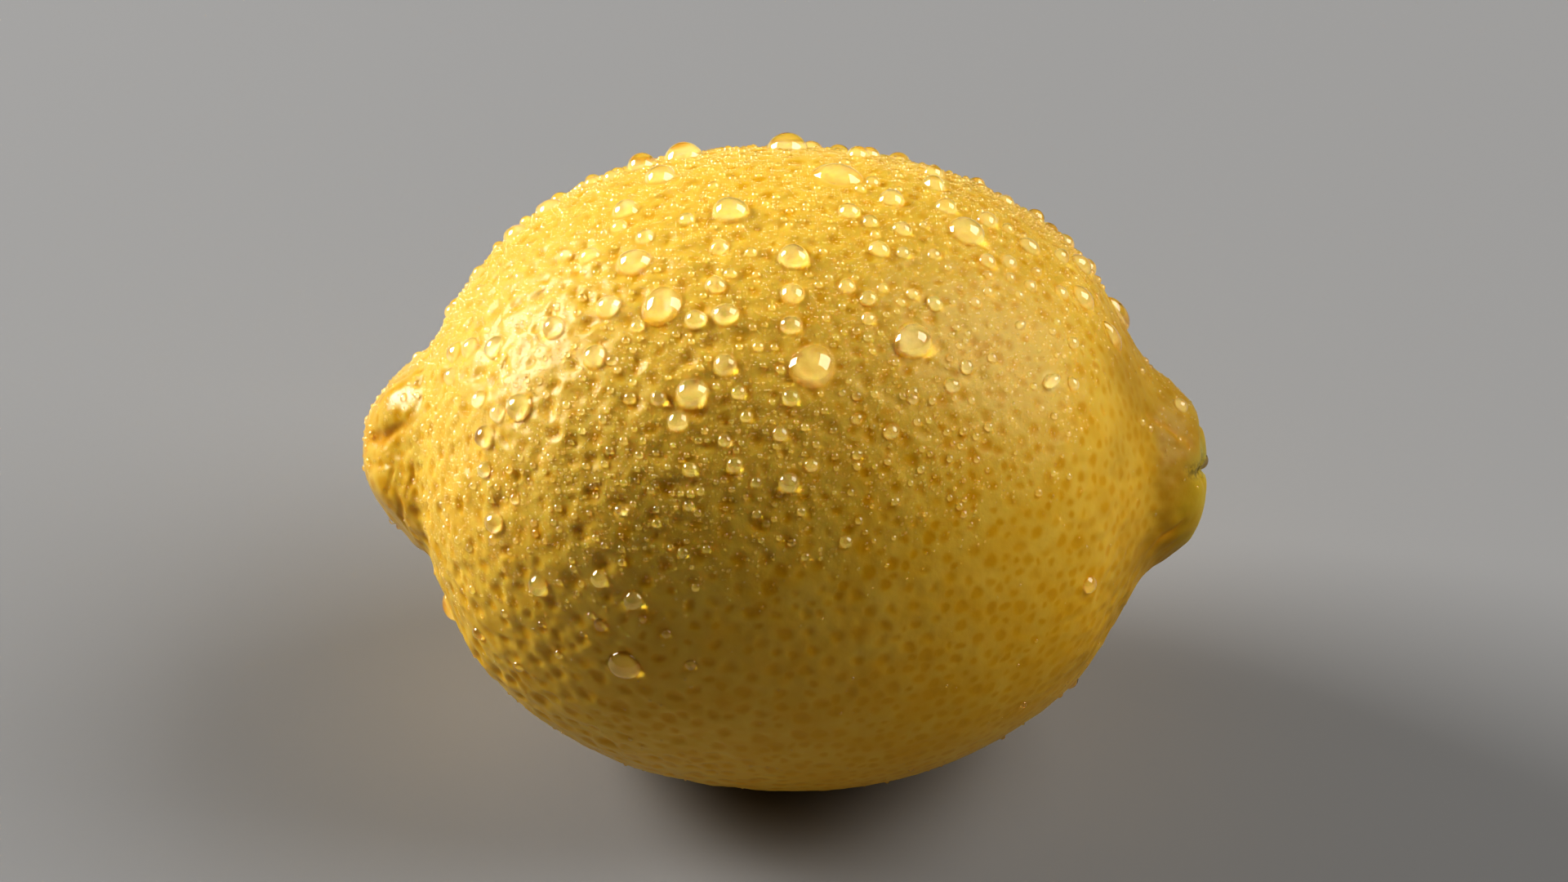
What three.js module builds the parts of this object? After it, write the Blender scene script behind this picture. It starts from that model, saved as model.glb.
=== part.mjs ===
// A whole lemon lying on its side, in millimetres, +Z up.
// The fruit's long axis runs along X: the wrinkled blossom nipple points to -X, the smooth stem neck to +X.
// The origin is at the middle of the bounding box's underside, where the rind is pressed into a small flat.

import * as THREE from 'three';
import { mergeVertices } from 'three/addons/utils/BufferGeometryUtils.js';

// Driving dimensions.
const LENGTH = 82; // nipple to stem tip
const GIRTH = 62; // diameter across the belly
const PRESSED = 0.85; // how far the round belly would reach below the surface that it lies on
const FLAT_SOFTNESS = 0.25; // half the height over which the flat's rim rounds off

const RINGS = 58; // steps from tip to tip
const AROUND = 56; // steps round the girth

// Half the outline from the nipple to the stem tip: [share of the half length, share of the half girth].
const OUTLINE = [
  [-1.0, 0.0],
  [-0.985, 0.115],
  [-0.94, 0.21],
  [-0.885, 0.285],
  [-0.835, 0.36],
  [-0.79, 0.465],
  [-0.705, 0.64],
  [-0.585, 0.79],
  [-0.415, 0.913],
  [-0.22, 0.98],
  [0.0, 1.0],
  [0.22, 0.972],
  [0.415, 0.895],
  [0.585, 0.772],
  [0.705, 0.634],
  [0.79, 0.46],
  [0.85, 0.335],
  [0.915, 0.268],
  [0.965, 0.205],
  [0.991, 0.12],
  [1.0, 0.0],
];

// Swellings fade out towards the axis within this radius, and folds within the smaller one.
const SWELLING_FADE = 25;
const FOLD_FADE = 5;

// The nipple sits a little high and back on the body, and the neck a little low.
const NIPPLE = { start: -28, over: 10, rise: 1.1, back: 0.8 };
const NECK = { start: 26, over: 12, rise: -0.3, back: 0.2 };

// The furrow between the body and the nipple, deepest at the front and underneath.
const FURROW = { x: -34.0, width: 1.1, depth: 0.35, extra: 0.65, deepestTowards: [-0.8, -0.6] };

// Folds that run along the nipple, and the broad facets of the neck.
const NIPPLE_FOLDS = { x: -37.5, width: 3.2, count: 5, height: 0.45, turn: 0.6 };
const NECK_FACETS = { x: 35.5, width: 4, count: 3, height: 0.3, turn: 1.1 };

// The cleft of the stem scar across the neck's tip: it runs downwards and to the front.
const CLEFT = { x: 41, reach: 1.8, height: 0.6, slant: 0.6, width: 0.8, depth: 0.7 };

// No fruit is a true solid of revolution: slow swellings of the belly.
const SWELLINGS = [
  { count: 2, height: 0.35, turn: 0.4, along: 0.02 },
  { count: 3, height: 0.22, turn: 2.1, along: -0.035 },
];

const bell = (distance, width) => Math.exp(-((distance / width) ** 2));
const ease = (value) => {
  const t = THREE.MathUtils.clamp(value, 0, 1);
  return t * t * (3 - 2 * t);
};

// Moves one point of the round blank onto the real fruit's surface, about the fruit's own axis.
function shapeRind(point) {
  const { x } = point;
  const radius = Math.hypot(point.y, point.z);
  if (radius > 1e-6) {
    const [y, z] = [point.y / radius, point.z / radius];
    const angle = Math.atan2(z, y);

    let grown = 0;
    for (const swelling of SWELLINGS) {
      const turn = swelling.turn + swelling.along * x;
      grown += swelling.height * Math.cos(swelling.count * (angle - turn)) * ease(radius / SWELLING_FADE);
    }
    for (const folds of [NIPPLE_FOLDS, NECK_FACETS]) {
      const wave = Math.cos(folds.count * (angle - folds.turn));
      grown += folds.height * wave * bell(x - folds.x, folds.width) * ease(radius / FOLD_FADE);
    }
    const facing = Math.max(0, y * FURROW.deepestTowards[0] + z * FURROW.deepestTowards[1]);
    grown -= (FURROW.depth + FURROW.extra * facing) * bell(x - FURROW.x, FURROW.width);

    point.y += y * grown;
    point.z += z * grown;
  }

  const cleftDistance = point.z - CLEFT.height + CLEFT.slant * point.y;
  point.x -= CLEFT.depth * bell(cleftDistance, CLEFT.width) * bell(x - CLEFT.x, CLEFT.reach);

  const nipple = ease((NIPPLE.start - x) / NIPPLE.over);
  const neck = ease((x - NECK.start) / NECK.over);
  point.y += NIPPLE.back * nipple + NECK.back * neck;
  point.z += NIPPLE.rise * nipple + NECK.rise * neck;
}

// Heights below the surface become 0, with a rounded rim.
function pressFlat(height) {
  if (height <= -FLAT_SOFTNESS) return 0;
  if (height >= FLAT_SOFTNESS) return height;
  return (height + FLAT_SOFTNESS) ** 2 / (4 * FLAT_SOFTNESS);
}

function makeLemon() {
  const outline = new THREE.SplineCurve(
    OUTLINE.map(([along, out]) => new THREE.Vector2((out * GIRTH) / 2, (along * LENGTH) / 2)),
  );
  const profile = outline.getSpacedPoints(RINGS);
  profile.forEach((point) => (point.x = Math.max(0, point.x)));

  const blank = new THREE.LatheGeometry(profile, AROUND);
  blank.deleteAttribute('normal');
  blank.deleteAttribute('uv');
  blank.rotateZ(-Math.PI / 2);

  const geometry = mergeVertices(blank, 1e-4);
  const position = geometry.getAttribute('position');
  const point = new THREE.Vector3();
  for (let i = 0; i < position.count; i += 1) {
    point.fromBufferAttribute(position, i);
    shapeRind(point);
    point.z = pressFlat(point.z + GIRTH / 2 - PRESSED);
    position.setXYZ(i, point.x, point.y, point.z);
  }

  geometry.computeBoundingBox();
  const middle = geometry.boundingBox.getCenter(new THREE.Vector3());
  geometry.translate(-middle.x, -middle.y, 0);
  geometry.computeVertexNormals();

  const rind = new THREE.MeshStandardMaterial({ color: 0xe3b41c, roughness: 0.35, metalness: 0 });
  const lemon = new THREE.Mesh(geometry, rind);
  lemon.name = 'lemon';
  return lemon;
}

const fruit = new THREE.Group();
fruit.add(makeLemon());

export default fruit;
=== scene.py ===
import itertools
import math

import bpy
import numpy as np
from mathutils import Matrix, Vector, kdtree


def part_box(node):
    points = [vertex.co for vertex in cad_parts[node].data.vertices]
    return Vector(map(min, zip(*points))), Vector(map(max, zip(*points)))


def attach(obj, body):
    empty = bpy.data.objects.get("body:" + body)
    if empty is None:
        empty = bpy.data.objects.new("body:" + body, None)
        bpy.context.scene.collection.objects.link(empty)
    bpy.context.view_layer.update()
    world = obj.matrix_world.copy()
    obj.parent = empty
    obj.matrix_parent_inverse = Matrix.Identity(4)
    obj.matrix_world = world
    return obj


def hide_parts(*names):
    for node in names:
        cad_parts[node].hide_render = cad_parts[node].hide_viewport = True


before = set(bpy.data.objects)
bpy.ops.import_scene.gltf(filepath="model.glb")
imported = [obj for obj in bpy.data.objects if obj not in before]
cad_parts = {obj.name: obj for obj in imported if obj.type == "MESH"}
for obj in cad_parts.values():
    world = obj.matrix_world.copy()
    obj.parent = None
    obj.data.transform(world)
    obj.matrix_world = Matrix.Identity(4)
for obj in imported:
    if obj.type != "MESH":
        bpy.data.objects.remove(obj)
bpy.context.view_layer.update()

# A wet lemon, in metres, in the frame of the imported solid: the long axis along X, the nipple at -X,
# the stem neck at +X, and z = 0 where the fruit rests. Places on the rind are given as the distance
# along X from the middle, and the turn round the axis: 0 is the top, 90 the front, 180 underneath.

MM = 0.001
low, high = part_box("lemon")
LENGTH = high.x - low.x
GIRTH = high.y - low.y
SEED = 20

# ---------------------------------------------------------------------------------------------------
# Small tools for curves and masks
# ---------------------------------------------------------------------------------------------------


def ease(value):
    t = np.clip(value, 0.0, 1.0)
    return t * t * (3.0 - 2.0 * t)


def bell(distance, width):
    return np.exp(-((distance / width) ** 2))


def radial(turn):
    """The unit direction across the fruit for a turn in degrees round it."""
    angle = np.radians(turn)
    return np.stack([np.zeros_like(angle), -np.sin(angle), np.cos(angle)], axis=-1)


def soft_noise(points):
    """Gradient noise from about -1 to 1, with one swelling or hollow to each unit of length."""
    slopes = np.random.default_rng(SEED).normal(size=(4096, 3))
    cell = np.floor(points).astype(int)
    inside = points - cell
    rising = ease(inside)
    total = np.zeros(len(points))
    for corner in itertools.product((0, 1), repeat=3):
        mixed = (cell + corner) @ [7919, 104729, 1299709]
        slope = slopes[(mixed ^ (mixed >> 9)) % 4096]
        share = np.where(corner, rising, 1.0 - rising).prod(axis=1)
        total += share * (slope * (inside - corner)).sum(axis=1)
    return np.clip(total, -1.0, 1.0)


def spline_through(knots, steps):
    """A smooth curve through the knots, as evenly timed points."""
    knots = np.array(knots)
    last = len(knots) - 1
    time = np.linspace(0.0, last, steps)
    first = np.minimum(time.astype(int), last - 1)
    t = (time - first)[:, None]
    before = knots[np.maximum(first - 1, 0)]
    start = knots[first]
    end = knots[first + 1]
    after = knots[np.minimum(first + 2, last)]
    leave = (end - before) / 2.0
    arrive = (after - start) / 2.0
    cubic = (2.0 * start - 2.0 * end + leave + arrive) * t**3
    square = (-3.0 * start + 3.0 * end - 2.0 * leave - arrive) * t**2
    return cubic + square + leave * t + start


# ---------------------------------------------------------------------------------------------------
# The fruit's smooth shape
# ---------------------------------------------------------------------------------------------------

# Half the outline from the nipple to the stem tip: (share of half the length, share of half the girth).
OUTLINE = [
    (-1.0, 0.0),
    (-0.985, 0.115),
    (-0.94, 0.21),
    (-0.885, 0.285),
    (-0.835, 0.36),
    (-0.79, 0.465),
    (-0.705, 0.64),
    (-0.585, 0.79),
    (-0.415, 0.913),
    (-0.22, 0.98),
    (0.0, 1.0),
    (0.22, 0.972),
    (0.415, 0.895),
    (0.585, 0.772),
    (0.705, 0.634),
    (0.79, 0.46),
    (0.85, 0.335),
    (0.915, 0.268),
    (0.965, 0.205),
    (0.991, 0.12),
    (1.0, 0.0),
]
OUTLINE_STEPS = 4000

# How far the fruit's own weight flattens it underneath, and how softly the flat begins.
PRESSED = 0.85 * MM
FLAT_SOFTNESS = 0.25 * MM

# The belly is slightly oval and three-sided. Swellings fade where the fruit is thinner than this.
SWELLING_FADE = 25 * MM
SWELLINGS = [
    {"count": 2, "height": 0.35 * MM, "turn": 0.4, "twist": 20},
    {"count": 3, "height": 0.22 * MM, "turn": 2.1, "twist": -35},
]

# Folds run along the nipple; the neck is slightly three-sided.
FOLD_FADE = 5 * MM
FOLDS = [
    {"at": -37.5 * MM, "width": 3.2 * MM, "count": 5, "height": 0.45 * MM, "turn": 0.6},
    {"at": 35.5 * MM, "width": 4.0 * MM, "count": 3, "height": 0.3 * MM, "turn": 1.1},
]

# The furrow round the nipple is deepest on the side that faces down and to the front.
FURROW_AT = -34.0 * MM
FURROW_WIDTH = 1.1 * MM
FURROW_DEPTH = 0.35 * MM
FURROW_EXTRA = 0.65 * MM
FURROW_FACES = np.array([0.0, -0.8, -0.6])

# The cleft of the stem scar runs down and to the front across the tip.
CLEFT_AT = 41 * MM
CLEFT_REACH = 1.8 * MM
CLEFT_HEIGHT = 0.6 * MM
CLEFT_SLANT = 0.6
CLEFT_WIDTH = 0.8 * MM
CLEFT_DEPTH = 0.7 * MM

NIPPLE_START = -28 * MM
NIPPLE_OVER = 10 * MM
NIPPLE_SHIFT = np.array([0.0, 0.8, 1.1]) * MM
NECK_START = 26 * MM
NECK_OVER = 12 * MM
NECK_SHIFT = np.array([0.0, 0.2, -0.3]) * MM


def axis_shift(along):
    """How far the ends sit off the belly's own axis."""
    nipple = ease((NIPPLE_START - along) / NIPPLE_OVER)
    neck = ease((along - NECK_START) / NECK_OVER)
    return nipple[:, None] * NIPPLE_SHIFT + neck[:, None] * NECK_SHIFT


def smooth_fruit(directions):
    """The pressed fruit without its pores, for unit directions out of its middle."""
    outline = spline_through(OUTLINE, OUTLINE_STEPS) * [LENGTH / 2, GIRTH / 2]
    stride = np.hypot(*np.diff(outline, axis=0).T)
    walked = np.append(0.0, np.cumsum(stride))
    share = np.arccos(np.clip(-directions[:, 0], -1.0, 1.0)) / math.pi
    along = np.interp(share * walked[-1], walked, outline[:, 0])
    radius = np.interp(share * walked[-1], walked, np.maximum(outline[:, 1], 0.0))

    across = directions[:, 1:] / np.maximum(np.hypot(directions[:, 1], directions[:, 2]), 1e-9)[:, None]
    angle = np.arctan2(across[:, 1], across[:, 0])
    grown = np.zeros(len(along))
    for swelling in SWELLINGS:
        turn = swelling["turn"] + swelling["twist"] * along
        wave = np.cos(swelling["count"] * (angle - turn))
        grown += swelling["height"] * wave * ease(radius / SWELLING_FADE)
    for folds in FOLDS:
        wave = np.cos(folds["count"] * (angle - folds["turn"]))
        near = bell(along - folds["at"], folds["width"])
        grown += folds["height"] * wave * near * ease(radius / FOLD_FADE)
    facing = np.maximum(across @ FURROW_FACES[1:], 0.0)
    grown -= (FURROW_DEPTH + FURROW_EXTRA * facing) * bell(along - FURROW_AT, FURROW_WIDTH)
    radius = np.where(radius > 0.0, radius + grown * ease(radius / MM), 0.0)

    points = np.column_stack([along, across * radius[:, None]])
    from_cleft = points[:, 2] - CLEFT_HEIGHT + CLEFT_SLANT * points[:, 1]
    points[:, 0] -= CLEFT_DEPTH * bell(from_cleft, CLEFT_WIDTH) * bell(along - CLEFT_AT, CLEFT_REACH)
    points += axis_shift(along)

    height = points[:, 2] + GIRTH / 2 - PRESSED
    rim = (np.clip(height, -FLAT_SOFTNESS, FLAT_SOFTNESS) + FLAT_SOFTNESS) ** 2 / (4 * FLAT_SOFTNESS)
    points[:, 2] = np.where(height < FLAT_SOFTNESS, rim, height)

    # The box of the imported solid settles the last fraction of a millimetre.
    lowest, highest = points.min(axis=0), points.max(axis=0)
    scale = (np.array(high) - np.array(low)) / (highest - lowest)
    return (points - lowest) * scale + np.array(low)


ATLAS_MARGIN = 0.006


def cube_sphere(cells):
    """Unit directions, quads that face out, and an atlas of six square maps for the rind."""
    steps = np.tan(np.linspace(-math.pi / 4, math.pi / 4, cells + 1))
    first, second = np.meshgrid(steps, steps, indexing="ij")
    sheets = []
    for sign in (1.0, -1.0):
        for axis in range(3):
            sheet = np.empty((cells + 1, cells + 1, 3))
            sheet[..., axis] = sign
            sheet[..., (axis + 1) % 3] = first if sign > 0 else second
            sheet[..., (axis + 2) % 3] = second if sign > 0 else first
            sheets.append(sheet / np.linalg.norm(sheet, axis=-1, keepdims=True))
    loose = np.array(sheets).reshape(-1, 3)
    _, keep, welded = np.unique(np.round(loose, 7), axis=0, return_index=True, return_inverse=True)
    grid = welded.reshape(6, cells + 1, cells + 1)
    corners = [grid[:, :-1, :-1], grid[:, 1:, :-1], grid[:, 1:, 1:], grid[:, :-1, 1:]]
    quads = np.stack(corners, axis=-1).reshape(-1, 4)

    ticks = ATLAS_MARGIN + (1 - 2 * ATLAS_MARGIN) * np.arange(cells + 1) / cells
    u, v = np.meshgrid(ticks, ticks, indexing="ij")
    maps = np.array([np.stack([(u + n % 3) / 3, (v + n // 3) / 2], axis=-1) for n in range(6)])
    corners = [maps[:, :-1, :-1], maps[:, 1:, :-1], maps[:, 1:, 1:], maps[:, :-1, 1:]]
    atlas = np.stack(corners, axis=-2).reshape(-1, 2)
    return loose[keep], quads, atlas


def make_mesh(name, points, faces, material):
    mesh = bpy.data.meshes.new(name)
    mesh.from_pydata(points.tolist(), [], faces)
    mesh.shade_smooth()
    mesh.materials.append(material)
    piece = bpy.data.objects.new(name, mesh)
    bpy.context.scene.collection.objects.link(piece)
    return piece


def add_mask(piece, name, values):
    """A number for each point of a piece, which its material reads."""
    attribute = piece.data.attributes.new(name, "FLOAT", "POINT")
    attribute.data.foreach_set("value", values.astype(np.float32))


def vertex_normals(mesh):
    normals = np.empty(len(mesh.vertices) * 3, np.float32)
    mesh.vertex_normals.foreach_get("vector", normals)
    return normals.reshape(-1, 3).astype(float)


# ---------------------------------------------------------------------------------------------------
# The rind's relief: bumps, pores, creases
# ---------------------------------------------------------------------------------------------------

CELLS = 224

# The rind is coarse towards the nipple and the top, in patches, and smooth at both ends.
COARSE_MIDDLE = 0.52
COARSE_FADE = 46 * MM
COARSE_ABOVE = 0.24
COARSE_PATCHES = 0.20
SMOOTH_NECK = 31 * MM
SMOOTH_NIPPLE = -34.2 * MM

# Each pore keeps others this far away, by the smooth share where the rind is smooth and by more of it
# where it is coarse. A pore's reach is a share of that distance, and its depth a share of its reach.
PORE_SPACING = (1.2 * MM, 2.4 * MM)
SMOOTH_SPACING = 0.66
COARSE_SPACING = 0.40
PORE_REACH = (0.42, 0.60)
PORE_DEPTH = (0.08, 0.25)
PORE_WARP = 0.30 * MM

# Low waves all over the rind: how long, how high, and a shift that makes each set its own.
WAVES = [(2.6 * MM, 0.14 * MM, 11.0), (1.1 * MM, 0.095 * MM, 19.0)]
WAVES_ON_SMOOTH = 0.22

# Wrinkles run round the fruit where it narrows to the nipple; fine folds gather along the neck. The
# second value of each is how many waves there are to a millimetre along, across and up.
WRINKLES = (0.16 * MM, (0.62, 0.24, 0.24))
GATHERS = (0.10 * MM, (0.22, 0.85, 0.85))

# Creases through listed (along, turn) points, each with its width and depth in millimetres.
CREASE_STEPS = 24
CREASES = [
    ([(-40.2, 46), (-39.3, 49), (-37.6, 45), (-35.2, 39)], 0.55, 0.42),
    ([(-40.1, 53), (-39.2, 55), (-38.2, 53)], 0.22, 0.16),
    ([(-39.9, 78), (-38.6, 72), (-37.5, 67), (-37.2, 74), (-37.2, 84), (-37.7, 95)], 0.30, 0.22),
    ([(-36.6, 80), (-36.1, 92), (-36.3, 104), (-35.8, 116)], 0.40, 0.28),
    ([(-35.5, 62), (-35.2, 72), (-35.5, 84)], 0.35, 0.22),
    ([(-39.9, 2), (-38.0, -2), (-35.8, 3)], 0.45, 0.25),
    ([(-39.5, -60), (-37.2, -64), (-34.8, -75)], 0.50, 0.35),
    ([(-39.2, -120), (-37.1, -133), (-35.0, -136)], 0.45, 0.30),
    ([(-39.6, 160), (-37.4, 163), (-35.0, 176)], 0.50, 0.30),
    ([(35.2, 99), (36.9, 97), (38.4, 91)], 0.60, 0.28),
    ([(34.6, 24), (37.2, 27), (39.2, 36)], 0.45, 0.20),
    ([(35.8, -70), (37.4, -62), (39.4, -60)], 0.55, 0.25),
    ([(36.2, -150), (37.6, -144), (39.5, -130)], 0.55, 0.25),
]

# Soft hollows: (along, turn), width and depth in millimetres, which is negative where the rind swells.
HOLLOWS = [
    ((-36.5, 56), 1.5, 0.32),
    ((-36.0, 72), 1.2, 0.30),
    ((-38.6, 84), 1.7, -0.28),
    ((-37.6, 22), 2.6, -0.35),
    ((-33.2, 66), 1.4, -0.25),
    ((-33.0, 92), 1.6, -0.30),
    ((-30.0, 52), 2.4, 0.22),
    ((-31.5, 104), 1.8, 0.25),
    ((-27.0, 28), 2.2, 0.22),
    ((-24.0, 60), 2.6, 0.22),
    ((-22.0, 96), 2.2, 0.22),
    ((-29.0, 122), 2.0, -0.30),
    ((36.6, 112), 2.4, 0.25),
]

# The old calyx ring: a groove round the upper side of the tip.
RING_RADIUS = 4.7 * MM
RING_WIDTH = 0.5 * MM
RING_DEPTH = 0.55 * MM
RING_FACES = radial(-30.0)


class Rind:
    """The skin's points, their outward normals and the masks that its material reads."""

    def __init__(self, cells):
        directions, self.quads, self.atlas = cube_sphere(cells)
        self.points = smooth_fruit(directions)
        helper = bpy.data.meshes.new("smooth_fruit")
        helper.from_pydata(self.points.tolist(), [], self.quads.tolist())
        self.normals = vertex_normals(helper)
        bpy.data.meshes.remove(helper)
        self.along = self.points[:, 0]
        self.middle = axis_shift(self.along) + [0.0, 0.0, GIRTH / 2 - PRESSED]
        across = self.points - self.middle
        self.turn = np.degrees(np.arctan2(-across[:, 1], across[:, 2]))
        self.radius = np.hypot(across[:, 1], across[:, 2])
        self.tree = kdtree.KDTree(len(self.points))
        for number in np.random.default_rng(SEED).permutation(len(self.points)):
            self.tree.insert(self.points[number], number)
        self.tree.balance()
        self.outline = spline_through(OUTLINE, OUTLINE_STEPS) * [LENGTH / 2, GIRTH / 2]
        self.lift = np.zeros(len(self.points))
        self.wet = np.zeros(len(self.points))

    def place(self, along, turn):
        """The number of the rind's point at a place given in millimetres and degrees."""
        along = along * MM
        out = np.interp(along, self.outline[:, 0], self.outline[:, 1])
        middle = axis_shift(np.array([along]))[0] + [0.0, 0.0, GIRTH / 2 - PRESSED]
        middle[0] = along
        return self.tree.find(middle + out * radial(turn))[1]

    def noise(self, size, shift=0.0, points=None):
        """Soft noise over the rind, from -1 to 1, with features of about the given size."""
        return soft_noise((self.points if points is None else points) / size + shift)

    def shaken(self, size, amount):
        """The rind's points moved about by soft noise, which makes whatever follows them irregular."""
        offsets = [self.noise(size, shift) for shift in (31.0, 37.0, 41.0)]
        return self.points + amount * np.column_stack(offsets)


def bumpiness(rind):
    """From 0 where the rind is smooth to 1 where it is coarse: towards the nipple and the top."""
    up = rind.normals[:, 2]
    patches = COARSE_PATCHES * rind.noise(16 * MM, 3.0)
    coarse = COARSE_MIDDLE - rind.along / COARSE_FADE + COARSE_ABOVE * up + patches
    neck = ease((rind.along - SMOOTH_NECK + 3 * MM * rind.noise(7 * MM, 7.0)) / (5 * MM))
    nipple = ease((SMOOTH_NIPPLE - rind.along + 0.8 * MM * rind.noise(3 * MM, 9.0)) / (2 * MM))
    return np.clip(coarse, 0.10, 1.0) * (1.0 - 0.6 * neck) * (1.0 - 0.75 * nipple)


def pore_centres(rind, coarse, rng):
    """Points where pores lie and the room that each has, scattered but never too close together."""
    free = np.ones(len(rind.points), bool)
    centres = []
    for number in rng.permutation(len(rind.points)):
        if free[number]:
            room = rng.uniform(*PORE_SPACING) * (SMOOTH_SPACING + COARSE_SPACING * coarse[number])
            centres.append((number, room))
            for _, near, _ in rind.tree.find_range(rind.points[number], room):
                free[near] = False
    return centres


def press_pores(rind, coarse, rng):
    """Each point's depth below the skin, and how far it lies in a pore."""
    depth = np.zeros(len(rind.points))
    mask = np.zeros(len(rind.points))
    shaken = rind.shaken(1.1 * MM, PORE_WARP)
    for number, room in pore_centres(rind, coarse, rng):
        reach = room * rng.uniform(*PORE_REACH)
        deep = reach * rng.uniform(*PORE_DEPTH) * coarse[number]
        numbers = np.array([hit[1] for hit in rind.tree.find_range(rind.points[number], 1.4 * reach)])
        away = np.linalg.norm(shaken[numbers] - shaken[number], axis=1) / reach
        hollow = np.clip(1.0 - away**2, 0.0, 1.0) ** 2
        depth[numbers] = np.maximum(depth[numbers], deep * hollow)
        mask[numbers] = np.maximum(mask[numbers], rng.uniform(0.4, 1.0) * ease(1.25 * (1.0 - away)))
    return depth, mask


def press_creases(rind):
    """The depth of the creases at each point of the rind."""
    depth = np.zeros(len(rind.points))
    shaken = rind.shaken(1.8 * MM, 0.45 * MM)
    for places, width, deep in CREASES:
        knots = [shaken[rind.place(*place)] for place in places]
        line = spline_through(knots, CREASE_STEPS)
        middle = line.mean(axis=0)
        reach = np.linalg.norm(line - middle, axis=1).max() + 3 * width * MM
        numbers = np.flatnonzero(np.linalg.norm(shaken - middle, axis=1) < reach)
        away = np.linalg.norm(shaken[numbers, None] - line, axis=2)
        share = away.argmin(axis=1) / (CREASE_STEPS - 1)
        taper = np.sin(math.pi * (0.10 + 0.80 * share))
        depth[numbers] += deep * MM * taper * bell(away.min(axis=1), width * MM)
    return depth


def press_hollows(rind):
    """The depth of the soft hollows at each point, negative where the rind swells."""
    depth = np.zeros(len(rind.points))
    shaken = rind.shaken(2.5 * MM, 0.8 * MM)
    for place, width, deep in HOLLOWS:
        away = np.linalg.norm(shaken - shaken[rind.place(*place)], axis=1)
        depth += deep * MM * bell(away, width * MM)
    return depth


def calyx_ring(rind):
    """The depth of the groove round the upper side of the tip."""
    across = rind.points - rind.middle
    across[:, 0] = 0.0
    facing = across @ RING_FACES / np.maximum(rind.radius, MM)
    on_tip = ease((rind.along - 36 * MM) / (3 * MM))
    return RING_DEPTH * bell(rind.radius - RING_RADIUS, RING_WIDTH) * ease(0.5 + facing) * on_tip


def wrinkle_lift(rind):
    """The height of the wrinkles by the nipple and of the fine folds along the neck."""
    wrinkled = ease((-22 * MM - rind.along) / (10 * MM)) * ease((rind.along + 37.5 * MM) / (3 * MM))
    gathered = ease((rind.along - 22 * MM) / (8 * MM)) * ease((41 * MM - rind.along) / (3 * MM))
    height, waves = WRINKLES
    lift = height * rind.noise(MM, 5.0, rind.points * waves) * wrinkled
    height, waves = GATHERS
    return lift + height * rind.noise(MM, 6.0, rind.points * waves) * gathered


def tip_masks(rind, ring):
    """How green, how grey and how scarred the stem tip is at each point."""
    # The green reaches further back along the lower lip, which faces the front.
    lower_front = ease(1.4 * bell(rind.turn - 105.0, 55.0))
    tip_start = 38.6 * MM - 2.2 * MM * lower_front - 0.9 * MM * rind.noise(2.5 * MM, 23.0)
    tip = ease((rind.along - tip_start) / (4.2 * MM))
    from_cleft = rind.points[:, 2] - rind.middle[:, 2] - CLEFT_HEIGHT + CLEFT_SLANT * rind.points[:, 1]
    broken = 0.6 * ease(0.3 + 1.3 * rind.noise(1.6 * MM, 47.0))
    return {
        "tip": tip,
        "upper_lip": tip * ease(from_cleft / (2.6 * MM) + 0.5),
        "scar": np.maximum(tip * bell(from_cleft, 0.8 * MM), broken * ring / RING_DEPTH),
    }


def make_rind(material):
    rng = np.random.default_rng(SEED)
    rind = Rind(CELLS)
    coarse = bumpiness(rind)
    depth, pores = press_pores(rind, coarse, rng)
    creases = press_creases(rind)
    ring = calyx_ring(rind)
    waves = sum(height * rind.noise(size, shift) for size, height, shift in WAVES)
    waves *= WAVES_ON_SMOOTH + (1.0 - WAVES_ON_SMOOTH) * coarse
    rind.lift = waves + wrinkle_lift(rind) - depth - creases - ring - press_hollows(rind)
    points = rind.points + rind.normals * rind.lift[:, None]
    points[:, 2] = np.maximum(points[:, 2], 0.0)
    points[:, 0] = np.clip(points[:, 0], low.x, high.x)

    piece = make_mesh("rind", points, rind.quads.tolist(), material)
    piece.data.uv_layers.new(name="OFBake").data.foreach_set("uv", rind.atlas.ravel())
    masks = {
        "pore": pores,
        "coarse": coarse,
        # Faces up: places the painted sheen and strengthens the painted caustic under the drops.
        "top": ease(0.25 + 0.85 * rind.normals[:, 2]),
        "crease": np.clip(creases / (0.4 * MM), 0.0, 1.0),
        "neck": ease((rind.along - 27 * MM + 4 * MM * rind.noise(6 * MM, 29.0)) / (10 * MM)),
        "nipple": ease((-33.5 * MM - rind.along + 1.2 * MM * rind.noise(3 * MM, 43.0)) / (3 * MM)),
    }
    masks.update(tip_masks(rind, ring))
    for name, values in masks.items():
        add_mask(piece, name, values)
    return piece, rind


# ---------------------------------------------------------------------------------------------------
# The water on the rind
# ---------------------------------------------------------------------------------------------------

# The angle at which water meets the rind, in degrees. A drop wider than the second value is too heavy
# to stay round, and its angle is less by the third for each metre more.
DROP_MEETS = (60, 80)
SAGS_FROM = 3.8 * MM
FLATTENED = 28 / MM

# Half the width of the widest bead.
WIDEST_BEAD = 1.3 * MM

# The direction that the spray came from: above, behind and on the nipple's side.
SPRAYED_FROM = np.array([-0.35, 0.10, 0.93])
STRAY_SPRAY = 0.006
DRY_UNDER = 2 * MM

# What the spray left between the large drops: rings, spokes, how many, and their widths.
SCATTERED_WATER = [
    ("water_beads", 7, 18, 260, (0.9 * MM, 2.5 * MM)),
    ("water_spray", 4, 10, 2600, (0.36 * MM, 0.95 * MM)),
    ("water_mist", 2, 7, 15000, (0.18 * MM, 0.40 * MM)),
]
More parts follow.
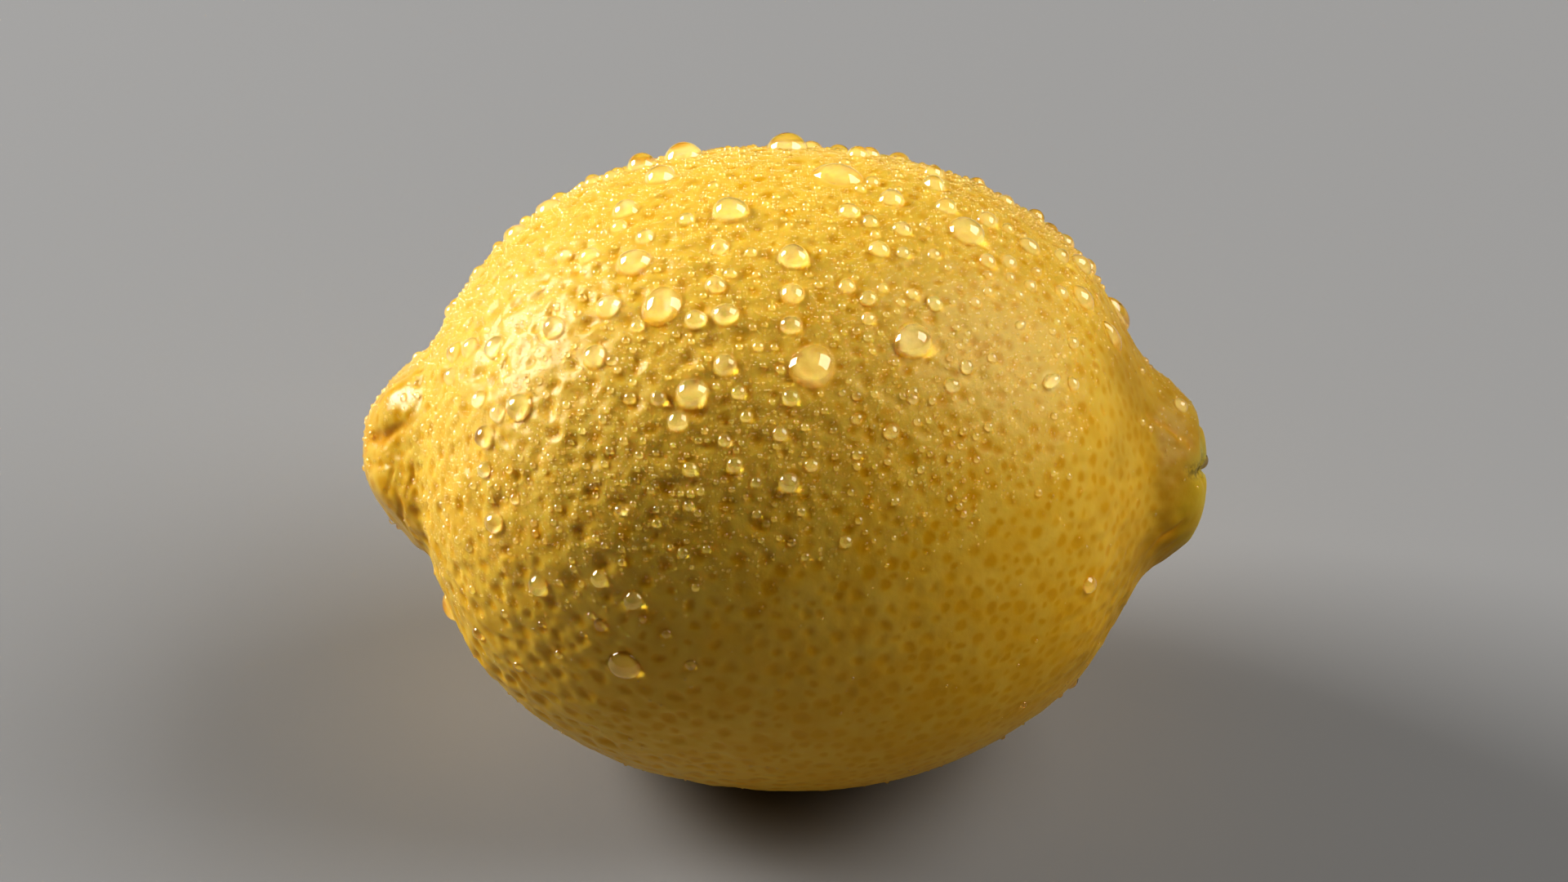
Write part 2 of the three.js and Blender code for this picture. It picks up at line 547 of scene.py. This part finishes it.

# The drops that stand out: along and width in millimetres, turn in degrees between them.
ROUND_DROPS = [
    (-26, -18, 2.5), (-23, -22, 2.7), (-19, -27, 1.6), (-17, -24, 1.8), (-14, -26, 3.1), (-10, -28, 4.0),
    (0, -30, 4.0), (-12, -13, 3.2), (-15, -2, 2.9), (-9, 5, 1.7), (-5, 4, 3.5), (-13, 8, 2.0),
    (-14, 14, 3.4), (-6, 13, 2.0), (1, 16, 3.0), (-6, 22, 2.1), (-16, 24, 2.6), (-21, 26, 2.4),
    (-5, 28, 2.6), (1, 24, 2.4), (-17, 34, 2.5), (-5, 37, 2.3), (1, 30, 2.2), (-8, 42, 3.2),
    (3, 37, 4.4), (1, 43, 1.7), (-11, 43, 1.6), (-24, 42, 2.9), (-26, 43, 1.9), (-28, 38, 1.8),
    (-27, 48, 2.5), (-27, 56, 1.6), (-27, 25, 2.4), (-13, 29, 1.5), (-3, 15, 1.3), (-2, 34, 1.2),
    (8, -29, 2.1), (10, -2, 2.7), (6, 4, 2.2), (8, 6, 1.7), (11, 7, 2.0), (9, 13, 2.1), (11, 13, 1.5),
    (14, 12, 1.5), (14, -20, 2.0), (15, -3, 2.2), (17, 3, 3.7), (19, -4, 2.3), (21, -24, 1.8),
    (21, -5, 1.4), (21, 7, 1.9), (23, 11, 1.6), (26, -7, 1.8), (24, -30, 1.9), (27, -30, 2.0),
    (29, -25, 2.0), (26, 8, 1.7), (22, 15, 1.1), (19, 17, 1.2), (19, 13, 1.2), (16, 27, 0.9),
    (12, 31, 3.8), (17, 35, 1.5), (27, 22, 1.4), (27, 33, 1.5), (12, 41, 1.2), (7, 42, 1.0),
    (6, 22, 1.8), (8, 24, 1.8), (8, 28, 1.5), (12, 22, 1.4), (14, 23, 1.7), (-16, 46, 1.0),
    (-11, 64, 1.0), (-26, 72, 1.1), (-8, 61, 1.1), (-8, 55, 1.5), (-16, 75, 1.9), (-13, 78, 2.0),
    (-16, 84, 1.5), (-10, 84, 1.0), (-14, 92, 3.2), (-20, 94, 1.0), (-28, 104, 1.4), (-24, 104, 1.2),
    (-8, 90, 1.2), (-3, 46, 1.3), (-5, 50, 1.4), (0, 49, 1.6), (7, 46, 1.2), (10, 48, 1.6),
    (12, 42, 1.2), (19, 46, 1.0), (7, 52, 1.1), (3, 54, 1.4), (-4, 54, 1.6), (-2, 57, 1.1),
    (1, 57, 2.0), (-2, 62, 1.0), (38, 4, 1.7), (34, 31, 0.9), (35, 31, 0.9), (40.9, 20, 1.6),
]

# Drops that lie along or down the slope: along, turn, width, and how much longer than wide they are.
LONG_DROPS = [
    (-11, 25, 3.9, 1.15), (5, -9, 5.0, 0.75), (14, -12, 2.8, 0.7), (23, -2, 2.1, 1.2), (28, 4, 2.4, 1.25),
    (28, -14, 2.3, 1.2), (31, 6, 1.9, 1.9), (32, -28, 2.4, 1.8), (22, 23, 1.5, 0.7), (25, 34, 2.3, 0.6),
    (-14, 62, 1.6, 0.7), (-32, 134, 2.6, 1.3),
]


def drop_template(rings, spokes):
    """A drop's points as (share of the way to its rim, angle, how deep in the skin), and its faces."""
    shares = np.arange(1, rings + 1) / rings
    spoke = np.arange(spokes) * 2 * math.pi / spokes
    share = np.concatenate([[0.0], np.repeat(shares, spokes), np.ones(spokes), [0.0]])
    angle = np.concatenate([[0.0], np.tile(spoke, rings + 1), [0.0]])
    under = np.concatenate([np.zeros(1 + rings * spokes), np.ones(spokes + 1)])
    faces = []
    for n in range(spokes):
        after = (n + 1) % spokes
        faces.append((0, 1 + n, 1 + after))
        for ring in range(rings):
            inner, outer = 1 + ring * spokes, 1 + (ring + 1) * spokes
            faces.append((inner + n, outer + n, outer + after, inner + after))
        rim = 1 + rings * spokes
        faces.append((rim + n, rim + spokes, rim + after))
    return (share, angle, under), faces


class Water:
    """Collects drops of one fineness into one mesh."""

    def __init__(self, rind, rings, spokes, rng):
        self.rind = rind
        self.rng = rng
        self.template, self.template_faces = drop_template(rings, spokes)
        self.points = []
        self.faces = []
        self.count = 0

    def add(self, number, width, stretch=1.0):
        """One drop, a cap of a sphere, on the rind's point of that number. Gravity pulls it down."""
        share, angle, under = self.template
        normal = self.rind.normals[number]
        down = np.array([0.0, 0.0, -1.0]) + normal[2] * normal
        slope = np.linalg.norm(down)
        down = down / slope if slope > 0.05 else np.cross(normal, [0.0, 1.0, 0.0])
        down /= np.linalg.norm(down)
        side = np.cross(normal, down)

        half = width / 2
        near = self.rind.tree.find_range(self.rind.points[number], max(half, 0.2 * MM))
        lifts = self.rind.lift[[hit[1] for hit in near]] if near else self.rind.lift[[number]]
        flattened = FLATTENED * max(width - SAGS_FROM, 0.0)
        meets = math.radians(self.rng.uniform(*DROP_MEETS) - flattened)
        out = np.sin(share * meets) / math.sin(meets)
        height = (np.cos(share * meets) - math.cos(meets)) / (1 - math.cos(meets))
        height = np.where(under > 0, 0.0, height)
        tall = half * math.tan(meets / 2)
        sunk = lifts.mean() - lifts.min() + 0.10 * half + 0.03 * MM

        phase = self.rng.uniform(0.0, 2 * math.pi, 2)
        wobble = 1.0 + 0.04 * np.cos(2 * angle + phase[0]) + 0.03 * np.cos(3 * angle + phase[1])
        along_down = half * stretch * out * wobble * np.cos(angle)
        along_side = half * out * wobble * np.sin(angle)
        along_down += np.minimum(0.05 * slope * half / MM, 0.2) * half * height
        curve = (half * out) ** 2 / (GIRTH * 0.9)
        lift = lifts.mean() + tall * height - sunk * under - curve
        parts = along_down[:, None] * down, along_side[:, None] * side, lift[:, None] * normal
        self.points.append(self.rind.points[number] + sum(parts))
        self.faces += [tuple(self.count + corner for corner in face) for face in self.template_faces]
        self.count += len(out)

    def build(self, name, material):
        return make_mesh(name, np.concatenate(self.points), self.faces, material)


def wetness(rind):
    """How likely a drop is at each point of the rind."""
    facing = rind.normals @ SPRAYED_FROM
    nipple = ease((-33.0 * MM - rind.along) / (3 * MM))
    neck = ease((rind.along - 28 * MM) / (8 * MM))
    sprayed = ease((facing - 0.05) / 0.6) * (1.0 - 0.7 * neck) * (1.0 - 0.8 * nipple)
    return (sprayed + STRAY_SPRAY) * (rind.points[:, 2] > DRY_UNDER)


def take_room(rind, room, number, half):
    """Notes how far each point near a new drop is from that drop's rim, and which ones it covers."""
    for _, near, away in rind.tree.find_range(rind.points[number], half + WIDEST_BEAD):
        room[near] = min(room[near], away - half)
        # This also marks the rind under the drop for the painted caustic, a paler colour where the drop
        # would focus light.
        rind.wet[near] = max(rind.wet[near], min(half / MM, 1.0) * min(3.0 * (1.0 - away / half), 1.0))


def scatter(rind, chance, count, widths, room, rng):
    """Places and widths of drops that keep clear of those already there."""
    drops = []
    for number in rng.choice(len(rind.points), size=count * 3, p=chance / chance.sum()):
        width = widths[0] + (widths[1] - widths[0]) * rng.random() ** 1.8
        if room[number] > 0.48 * width:
            take_room(rind, room, number, width / 2)
            drops.append((number, width))
        if len(drops) == count:
            break
    return drops


def make_water(rind, material):
    rng = np.random.default_rng(SEED + 1)
    chance = wetness(rind)
    room = np.full(len(rind.points), GIRTH)

    drops = Water(rind, 12, 36, rng)
    for along, turn, width, stretch in [(*place, 1.0) for place in ROUND_DROPS] + LONG_DROPS:
        number = rind.place(along, turn)
        drops.add(number, width * MM, stretch)
        take_room(rind, room, number, width * MM / 2)
    pieces = [drops.build("water_drops", material)]

    # The near side has its larger drops already.
    far_side = ease((-25.0 - rind.turn) / 15.0) + ease((rind.turn - 140.0) / 10.0) + 0.12
    for name, rings, spokes, count, widths in SCATTERED_WATER:
        water = Water(rind, rings, spokes, rng)
        likely = chance * far_side if name == "water_beads" else chance
        for number, width in scatter(rind, likely, count, widths, room, rng):
            water.add(number, width)
        pieces.append(water.build(name, material))
    return pieces


# ---------------------------------------------------------------------------------------------------
# Materials
# ---------------------------------------------------------------------------------------------------


class Value:
    """A number socket, so that shader maths reads as plain arithmetic."""

    def __init__(self, finish, socket):
        self.finish = finish
        self.socket = socket

    def maths(self, operation, first, second=0.0, clamp=False):
        settings = {"operation": operation, "use_clamp": clamp}
        return self.finish.add("ShaderNodeMath", settings, {0: first, 1: second})

    def __add__(self, other):
        return self.maths("ADD", self, other)

    __radd__ = __add__

    def __sub__(self, other):
        return self.maths("SUBTRACT", self, other)

    def __rsub__(self, other):
        return self.maths("SUBTRACT", other, self)

    def __mul__(self, other):
        return self.maths("MULTIPLY", self, other)

    __rmul__ = __mul__

    def clamped(self):
        return self.maths("ADD", self, 0.0, clamp=True)


class Finish:
    """One material and the nodes in it."""

    def __init__(self, name):
        self.material = bpy.data.materials.new(name)
        self.material.use_nodes = True
        self.tree = self.material.node_tree
        self.tree.nodes.clear()

    def add(self, kind, settings=None, sockets=None, output=0):
        """A node of any type, with its settings made first, then its sockets set or linked."""
        node = self.tree.nodes.new(kind)
        for name, value in (settings or {}).items():
            setattr(node, name, value)
        for name, value in (sockets or {}).items():
            if isinstance(value, Value):
                self.tree.links.new(value.socket, node.inputs[name])
            else:
                node.inputs[name].default_value = value
        return Value(self, node.outputs[output])

    def mask(self, name):
        return self.add("ShaderNodeAttribute", {"attribute_name": name}, output="Fac")

    def blend(self, amount, first, second):
        """The first colour turning into the second as the amount goes from 0 to 1."""
        settings = {"data_type": "RGBA", "clamp_factor": True}
        return self.add("ShaderNodeMix", settings, {0: amount, 6: first, 7: second}, output=2)

    def place(self, scale):
        """The object's own coordinates, with this many units to the metre."""
        where = self.add("ShaderNodeTexCoord", output="Object")
        return self.add("ShaderNodeVectorMath", {"operation": "SCALE"}, {0: where, "Scale": scale})

    def noise(self, per_metre, detail=3.0, roughness=0.5):
        sockets = {"Vector": self.place(per_metre), "Scale": 1.0, "Detail": detail, "Roughness": roughness}
        return self.add("ShaderNodeTexNoise", {}, sockets, output="Fac")

    def spots(self, per_metre):
        sockets = {"Vector": self.place(per_metre), "Scale": 1.0}
        return self.add("ShaderNodeTexVoronoi", {"feature": "F1"}, sockets, output="Distance")

    def bump(self, height, distance, strength):
        sockets = {"Height": height, "Distance": distance, "Strength": strength}
        return self.add("ShaderNodeBump", {}, sockets)

    def done(self, surface):
        output = self.tree.nodes.new("ShaderNodeOutputMaterial")
        self.tree.links.new(surface.socket, output.inputs["Surface"])
        return self.material


# Some of these colours paint light: the paler pith colour also serves as a painted sheen, the pore amber
# partly as painted pit shade, the crease orange as painted crease shade, and the pale under the drops as a
# painted caustic.
LEMON_YELLOW = (0.84, 0.47, 0.010, 1.0)
PITH_TONE_AND_PAINTED_SHEEN = (0.90, 0.60, 0.090, 1.0)
PAINTED_DROP_CAUSTIC = (0.98, 0.76, 0.290, 1.0)
OIL_AMBER_AND_PIT_SHADE = (0.66, 0.33, 0.002, 1.0)
NECK_AMBER = (0.44, 0.24, 0.003, 1.0)
PAINTED_CREASE_SHADE = (0.86, 0.40, 0.003, 1.0)
TIP_GREEN = (0.60, 0.44, 0.020, 1.0)
LIP_GREY_GREEN = (0.38, 0.36, 0.10, 1.0)
SCAR_BROWN = (0.060, 0.045, 0.014, 1.0)


def lemon_rind():
    finish = Finish("lemon_rind")
    pore, coarse, crease, wet = (finish.mask(name) for name in ("pore", "coarse", "crease", "wet"))
    top, neck, nipple = (finish.mask(name) for name in ("top", "neck", "nipple"))
    tip, upper_lip, scar = (finish.mask(name) for name in ("tip", "upper_lip", "scar"))

    # The rind is paler in a random mottle and less pale in the pores, the latter partly painted pit shade.
    # The extra paleness where the rind is coarse or faces up is a painted sheen, a painted highlight of
    # the lit upper and left side.
    mottle = finish.noise(320, detail=2.0)
    pith_and_painted_sheen = mottle * 1.5 - 0.45 + top * 0.6 + coarse * 0.3 - pore * 1.0
    colour = finish.blend(pith_and_painted_sheen.clamped(), LEMON_YELLOW, PITH_TONE_AND_PAINTED_SHEEN)
    # Pores turn amber: partly the oil glands' own tone, partly painted shade in the pits, strongest where
    # the relief is shallow.
    colour = finish.blend((pore * (0.33 - coarse * 0.20)).clamped(), colour, OIL_AMBER_AND_PIT_SHADE)
    colour = finish.blend((neck * (0.95 - mottle * 0.5)).clamped(), colour, NECK_AMBER)
    # Creases turn darker orange: painted shade in the creases.
    colour = finish.blend((crease * 0.75).clamped(), colour, PAINTED_CREASE_SHADE)
    # Under the drops, and more where the rind faces up, the rind turns paler: a painted caustic, the light
    # the drops would focus on it.
    colour = finish.blend((wet * (0.10 + top * 0.45)).clamped(), colour, PAINTED_DROP_CAUSTIC)
    colour = finish.blend((tip * (0.40 + mottle * 0.70)).clamped(), colour, TIP_GREEN)
    colour = finish.blend((upper_lip * 0.9).clamped(), colour, LIP_GREY_GREEN)
    specks = ((finish.noise(2200, detail=4.0, roughness=0.7) - 0.46) * 14.0).clamped()
    colour = finish.blend((scar * specks).clamped(), colour, SCAR_BROWN)

    height = finish.noise(2600) * 0.6 - finish.spots(1700) * 0.4
    sockets = {
        "Base Color": colour,
        "Roughness": 0.38 + mottle * 0.12 + neck * 0.08 - nipple * 0.12,
        "Normal": finish.bump(height, 0.04 * MM, 0.6),
        "IOR": 1.36,
        "Subsurface Weight": 0.35,
        "Subsurface Radius": (1.0, 0.55, 0.10),
        "Subsurface Scale": 1.4 * MM,
        "Coat Weight": 0.08 + coarse * 0.30 + nipple * 0.30,
        "Coat Roughness": 0.20,
        "Coat IOR": 1.33,
    }
    return finish.done(finish.add("ShaderNodeBsdfPrincipled", {}, sockets))


def clear_water():
    finish = Finish("clear_water")
    sockets = {
        "Base Color": (1.0, 1.0, 1.0, 1.0),
        "Roughness": 0.0,
        "IOR": 1.333,
        "Transmission Weight": 1.0,
        "Coat Weight": 1.0,
        "Coat Roughness": 0.0,
        "Coat IOR": 1.6,
    }
    water = finish.add("ShaderNodeBsdfPrincipled", {}, sockets)
    # The lamps reach the rind through the water, dimmed at each surface.
    let_through = finish.add("ShaderNodeBsdfTransparent", {}, {"Color": (0.4, 0.4, 0.4, 1.0)})
    from_lamp = finish.add("ShaderNodeLightPath", output="Is Shadow Ray")
    return finish.done(finish.add("ShaderNodeMixShader", {}, {0: from_lamp, 1: water, 2: let_through}))


def plain_floor():
    finish = Finish("plain_floor")
    sockets = {"Base Color": (0.38, 0.375, 0.37, 1.0), "Roughness": 0.8, "Specular IOR Level": 0.1}
    return finish.done(finish.add("ShaderNodeBsdfPrincipled", {}, sockets))


# ---------------------------------------------------------------------------------------------------
# Camera, light and floor
# ---------------------------------------------------------------------------------------------------

VIEW_AZIMUTH, VIEW_ELEVATION = 1.0, 36.0
VIEW_DISTANCE = 0.358
VIEW_LENS = 85.0
AIM_ABOVE = 2.6 * MM

# The soft lamps: azimuth, elevation, distance, width and watts.
SOFTBOXES = {
    "key": (-110, 27, 1.6, 0.75, 23.5),
    "fill": (96, 40, 1.6, 1.25, 16.0),
}
WORLD_GLOW = 0.03
FLOOR_REACH = 3.0


def aim(piece, target):
    piece.rotation_euler = (target - piece.location).to_track_quat("-Z", "Y").to_euler()


def from_angles(azimuth, elevation):
    """The unit direction from the fruit to something seen at these angles; azimuth 0 is the front."""
    azimuth, elevation = math.radians(azimuth), math.radians(elevation)
    flat = math.cos(elevation)
    return Vector((math.sin(azimuth) * flat, -math.cos(azimuth) * flat, math.sin(elevation)))


def add_camera(middle):
    data = bpy.data.cameras.new("camera")
    data.lens = VIEW_LENS
    camera = bpy.data.objects.new("camera", data)
    target = middle + Vector((0.0, 0.0, AIM_ABOVE))
    camera.location = target + VIEW_DISTANCE * from_angles(VIEW_AZIMUTH, VIEW_ELEVATION)
    aim(camera, target)
    bpy.context.scene.collection.objects.link(camera)
    bpy.context.scene.camera = camera


def add_softbox(name, azimuth, elevation, distance, size, power, middle):
    data = bpy.data.lights.new(name, "AREA")
    data.shape = "SQUARE"
    data.size = size
    data.energy = power
    lamp = bpy.data.objects.new(name, data)
    lamp.location = middle + distance * from_angles(azimuth, elevation)
    aim(lamp, middle)
    bpy.context.scene.collection.objects.link(lamp)


def add_floor():
    corners = FLOOR_REACH * np.array([(-1, -1, 0), (1, -1, 0), (1, 1, 0), (-1, 1, 0)])
    floor = make_mesh("floor", corners, [(0, 1, 2, 3)], plain_floor())


def light_studio(middle):
    world = bpy.data.worlds.new("studio")
    world.use_nodes = True
    world.node_tree.nodes["Background"].inputs["Color"].default_value = (1.0, 1.0, 1.0, 1.0)
    world.node_tree.nodes["Background"].inputs["Strength"].default_value = WORLD_GLOW
    bpy.context.scene.world = world
    for name, (azimuth, elevation, distance, size, power) in SOFTBOXES.items():
        add_softbox(name, azimuth, elevation, distance, size, power, middle)
    bpy.context.scene.view_settings.view_transform = "Standard"
    bpy.context.scene.view_settings.look = "High Contrast"
    # Light that the drops focus on the rind stays sharp.
    bpy.context.scene.cycles.blur_glossy = 0.0


# ---------------------------------------------------------------------------------------------------
# The scene
# ---------------------------------------------------------------------------------------------------

centre = (low + high) / 2
add_camera(centre)
add_floor()
light_studio(centre)

rind_piece, lemon_rind_shape = make_rind(lemon_rind())
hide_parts("lemon")
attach(rind_piece, "root")

water_pieces = make_water(lemon_rind_shape, clear_water())
# The rind's mask under the drops, which places the painted caustic.
add_mask(rind_piece, "wet", lemon_rind_shape.wet)
for water_piece in water_pieces:
    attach(water_piece, "root")
